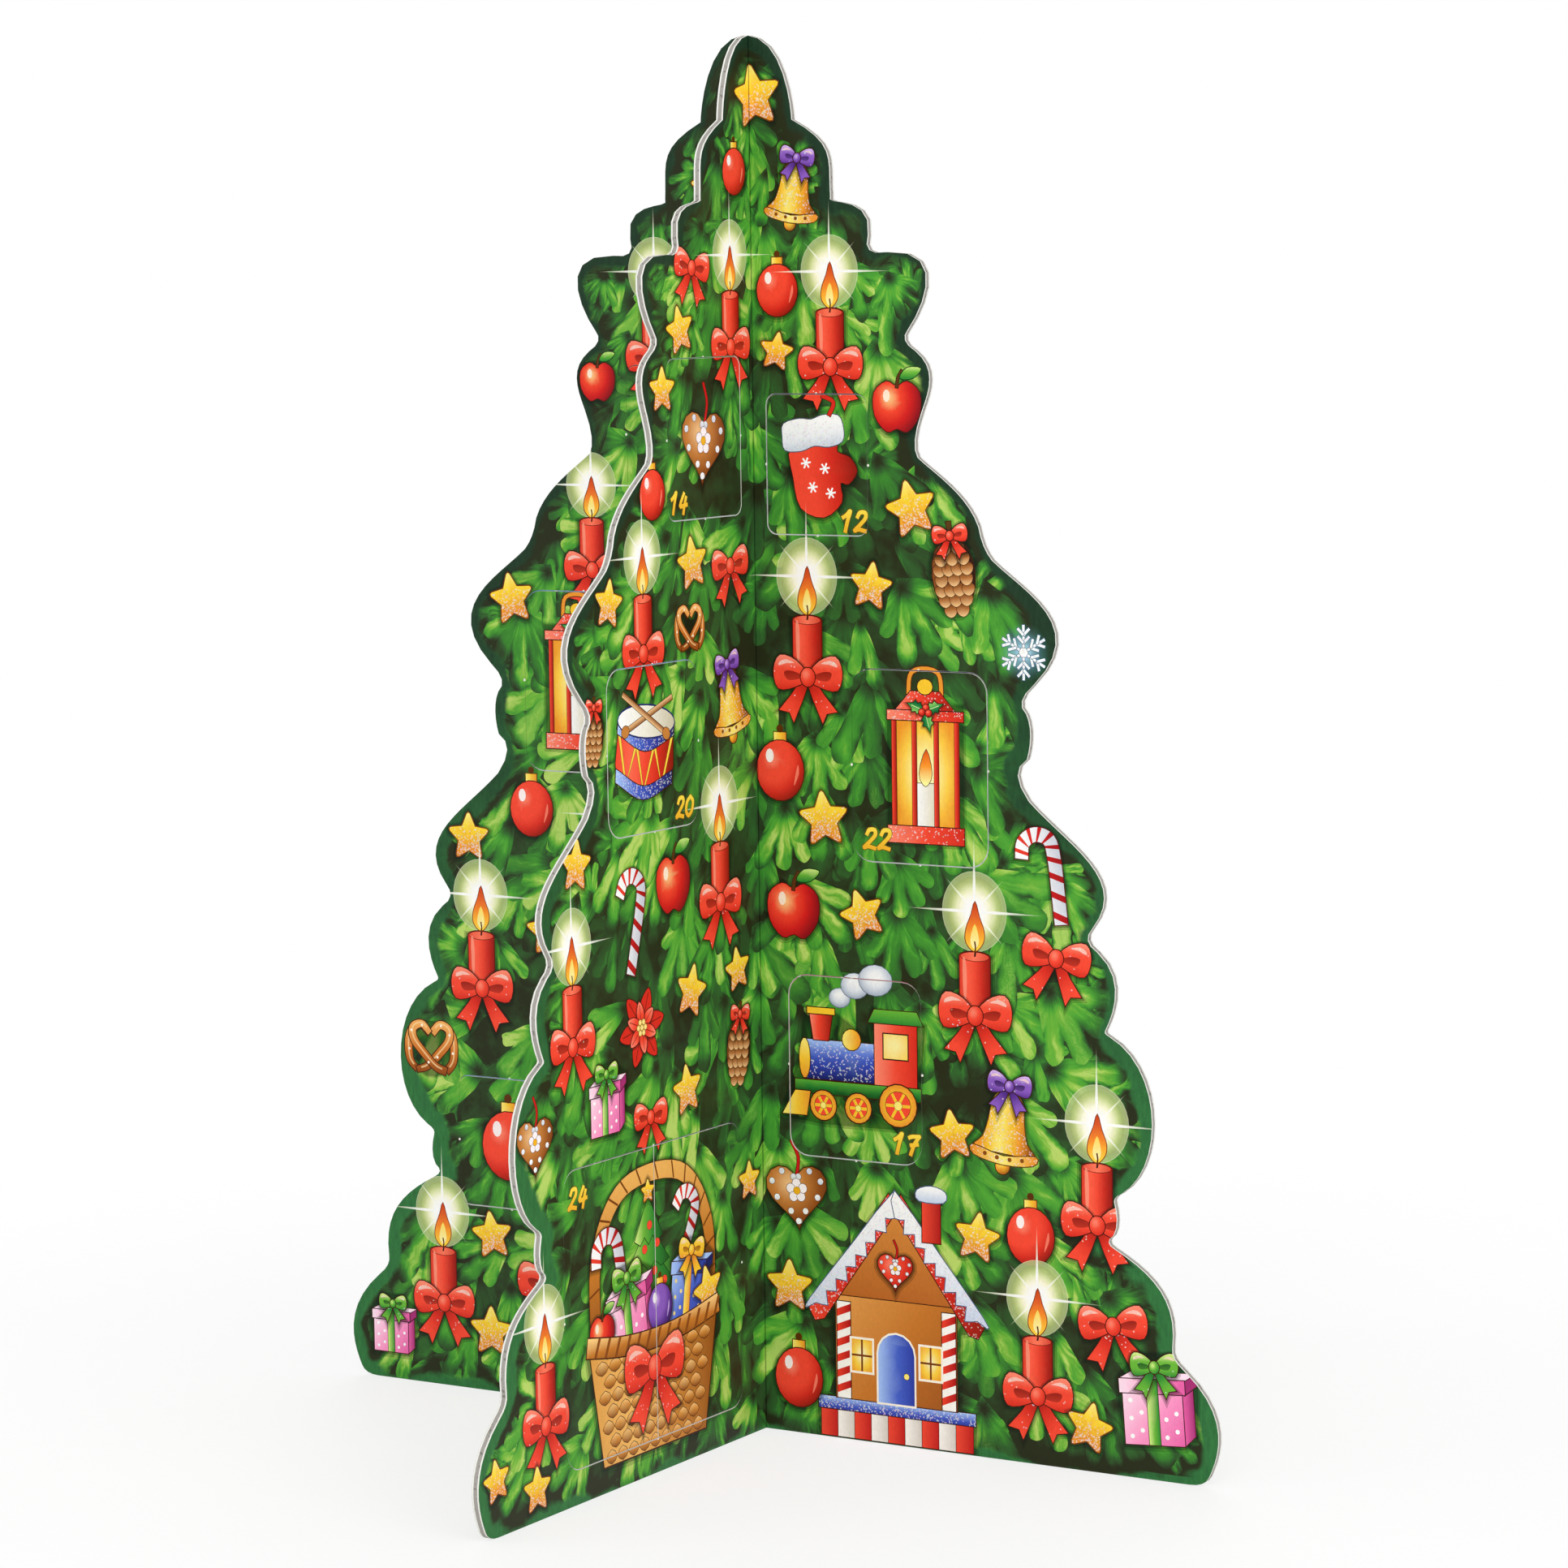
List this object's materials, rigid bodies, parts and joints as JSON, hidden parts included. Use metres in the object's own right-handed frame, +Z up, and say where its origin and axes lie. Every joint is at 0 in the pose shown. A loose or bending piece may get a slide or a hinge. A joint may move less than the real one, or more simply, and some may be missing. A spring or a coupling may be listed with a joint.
{
  "type": "standing tree advent calendar",
  "caption": "Free-standing card advent calendar: crossed half-tree wings about a folding spine, with numbered doors that open over picture sheets.",
  "frame": {"origin": "middle of the spine at the level of the base edges, which stand on z = 0", "axes": "+Z up along the spine, +X along the right wing, -Y along the front wing, which points towards the viewer's left in the picture"},
  "size_m": [0.308, 0.308, 0.42],
  "materials": {
    "printed_card": "satin varnished print on white board",
    "door_card": "satin varnished print on white board",
    "picture_sheet": "matt grey board with printed pictures"
  },
  "bodies": {
    "right_wing": {"right_wing_front_pictures": "picture_sheet", "right_wing_front_card": "printed_card", "right_wing_back_pictures": "picture_sheet", "right_wing_back_card": "printed_card"},
    "front_wing": {"front_wing_right_pictures": "picture_sheet", "front_wing_right_card": "printed_card", "front_wing_left_pictures": "picture_sheet", "front_wing_left_card": "printed_card"},
    "left_wing": {"left_wing_front_pictures": "picture_sheet", "left_wing_front_card": "printed_card", "left_wing_back_pictures": "picture_sheet", "left_wing_back_card": "printed_card"},
    "rear_wing": {"rear_wing_left_pictures": "picture_sheet", "rear_wing_left_card": "printed_card", "rear_wing_right_pictures": "picture_sheet", "rear_wing_right_card": "printed_card"},
    "door_12": {"door_12": "door_card"},
    "door_22": {"door_22": "door_card"},
    "door_17": {"door_17": "door_card"},
    "door_14": {"door_14": "door_card"},
    "door_20": {"door_20": "door_card"},
    "door_24_inner": {"door_24_inner": "door_card"},
    "door_24_outer": {"door_24_outer": "door_card"},
    "door_06": {"door_06": "door_card"},
    "door_15": {"door_15": "door_card"},
    "door_11": {"door_11": "door_card"},
    "door_03": {"door_03": "door_card"},
    "door_09": {"door_09": "door_card"},
    "door_05": {"door_05": "door_card"},
    "door_18": {"door_18": "door_card"},
    "door_02": {"door_02": "door_card"},
    "door_21": {"door_21": "door_card"},
    "door_08": {"door_08": "door_card"},
    "door_13": {"door_13": "door_card"},
    "door_23": {"door_23": "door_card"},
    "door_01": {"door_01": "door_card"},
    "door_16": {"door_16": "door_card"},
    "door_10": {"door_10": "door_card"},
    "door_07": {"door_07": "door_card"},
    "door_04": {"door_04": "door_card"},
    "door_19": {"door_19": "door_card"}
  },
  "joints": [
    {"name": "front_wing_fold", "type": "hinge", "parent": "right_wing", "child": "front_wing", "pos_m": [0.00114, -0.00114, 0], "axis": [0, 0, 1], "range_deg": [-88, 88]},
    {"name": "left_wing_fold", "type": "hinge", "parent": "front_wing", "child": "left_wing", "pos_m": [-0.00114, -0.00114, 0], "axis": [0, 0, 1], "range_deg": [-88, 88]},
    {"name": "rear_wing_fold", "type": "hinge", "parent": "right_wing", "child": "rear_wing", "pos_m": [0.00114, 0.00114, 0], "axis": [0, 0, 1], "range_deg": [-88, 88]},
    {"name": "door_12_open", "type": "hinge", "parent": "right_wing", "child": "door_12", "pos_m": [0.04037, -0.00114, 0.2936], "axis": [0, 0, -1], "range_deg": [-170, 0]},
    {"name": "door_22_open", "type": "hinge", "parent": "right_wing", "child": "door_22", "pos_m": [0.03427, -0.00114, 0.20485], "axis": [0, 0, 1], "range_deg": [-130, 0]},
    {"name": "door_17_open", "type": "hinge", "parent": "right_wing", "child": "door_17", "pos_m": [0.05676, -0.00114, 0.11315], "axis": [0, 0, -1], "range_deg": [-170, 0]},
    {"name": "door_14_open", "type": "hinge", "parent": "front_wing", "child": "door_14", "pos_m": [0.00114, -0.04866, 0.30235], "axis": [0, 0, 1], "range_deg": [-170, 0]},
    {"name": "door_20_open", "type": "hinge", "parent": "front_wing", "child": "door_20", "pos_m": [0.00114, -0.03447, 0.21375], "axis": [0, 0, -1], "range_deg": [-125, 0]},
    {"name": "door_24_inner_open", "type": "hinge", "parent": "front_wing", "child": "door_24_inner", "pos_m": [0.00114, -0.01429, 0.05375], "axis": [0, 0, -1], "range_deg": [-100, 0]},
    {"name": "door_24_outer_open", "type": "hinge", "parent": "front_wing", "child": "door_24_outer", "pos_m": [0.00114, -0.10962, 0.05375], "axis": [0, 0, 1], "range_deg": [-170, 0]},
    {"name": "door_06_open", "type": "hinge", "parent": "front_wing", "child": "door_06", "pos_m": [-0.00114, -0.04467, 0.301], "axis": [0, 0, 1], "range_deg": [0, 170]},
    {"name": "door_15_open", "type": "hinge", "parent": "front_wing", "child": "door_15", "pos_m": [-0.00114, -0.08164, 0.202], "axis": [0, 0, 1], "range_deg": [0, 170]},
    {"name": "door_11_open", "type": "hinge", "parent": "front_wing", "child": "door_11", "pos_m": [-0.00114, -0.03028, 0.086], "axis": [0, 0, -1], "range_deg": [0, 125]},
    {"name": "door_03_open", "type": "hinge", "parent": "left_wing", "child": "door_03", "pos_m": [-0.04367, -0.00114, 0.302], "axis": [0, 0, -1], "range_deg": [0, 170]},
    {"name": "door_09_open", "type": "hinge", "parent": "left_wing", "child": "door_09", "pos_m": [-0.08264, -0.00114, 0.226], "axis": [0, 0, -1], "range_deg": [0, 170]},
    {"name": "door_05_open", "type": "hinge", "parent": "left_wing", "child": "door_05", "pos_m": [-0.11061, -0.00114, 0.07975], "axis": [0, 0, -1], "range_deg": [0, 170]},
    {"name": "door_18_open", "type": "hinge", "parent": "left_wing", "child": "door_18", "pos_m": [-0.04566, 0.00114, 0.3045], "axis": [0, 0, -1], "range_deg": [-170, 0]},
    {"name": "door_02_open", "type": "hinge", "parent": "left_wing", "child": "door_02", "pos_m": [-0.02029, 0.00114, 0.219], "axis": [0, 0, 1], "range_deg": [-115, 0]},
    {"name": "door_21_open", "type": "hinge", "parent": "left_wing", "child": "door_21", "pos_m": [-0.10362, 0.00114, 0.12], "axis": [0, 0, -1], "range_deg": [-170, 0]},
    {"name": "door_08_open", "type": "hinge", "parent": "rear_wing", "child": "door_08", "pos_m": [-0.00114, 0.04167, 0.3085], "axis": [0, 0, 1], "range_deg": [-170, 0]},
    {"name": "door_13_open", "type": "hinge", "parent": "rear_wing", "child": "door_13", "pos_m": [-0.00114, 0.04227, 0.233], "axis": [0, 0, -1], "range_deg": [-160, 0]},
    {"name": "door_23_open", "type": "hinge", "parent": "rear_wing", "child": "door_23", "pos_m": [-0.00114, 0.06365, 0.116], "axis": [0, 0, 1], "range_deg": [-170, 0]},
    {"name": "door_01_open", "type": "hinge", "parent": "rear_wing", "child": "door_01", "pos_m": [0.00114, 0.04167, 0.288], "axis": [0, 0, 1], "range_deg": [0, 170]},
    {"name": "door_16_open", "type": "hinge", "parent": "rear_wing", "child": "door_16", "pos_m": [0.00114, 0.03627, 0.206], "axis": [0, 0, -1], "range_deg": [0, 140]},
    {"name": "door_10_open", "type": "hinge", "parent": "rear_wing", "child": "door_10", "pos_m": [0.00114, 0.09563, 0.091], "axis": [0, 0, 1], "range_deg": [0, 170]},
    {"name": "door_07_open", "type": "hinge", "parent": "right_wing", "child": "door_07", "pos_m": [0.04367, 0.00114, 0.307], "axis": [0, 0, -1], "range_deg": [0, 170]},
    {"name": "door_04_open", "type": "hinge", "parent": "right_wing", "child": "door_04", "pos_m": [0.06165, 0.00114, 0.232], "axis": [0, 0, -1], "range_deg": [0, 170]},
    {"name": "door_19_open", "type": "hinge", "parent": "right_wing", "child": "door_19", "pos_m": [0.11061, 0.00114, 0.126], "axis": [0, 0, -1], "range_deg": [0, 170]}
  ],
  "couplings": [
    {"joint": "left_wing_fold", "follows": "front_wing_fold", "ratio": -1},
    {"joint": "rear_wing_fold", "follows": "front_wing_fold", "ratio": 1}
  ]
}
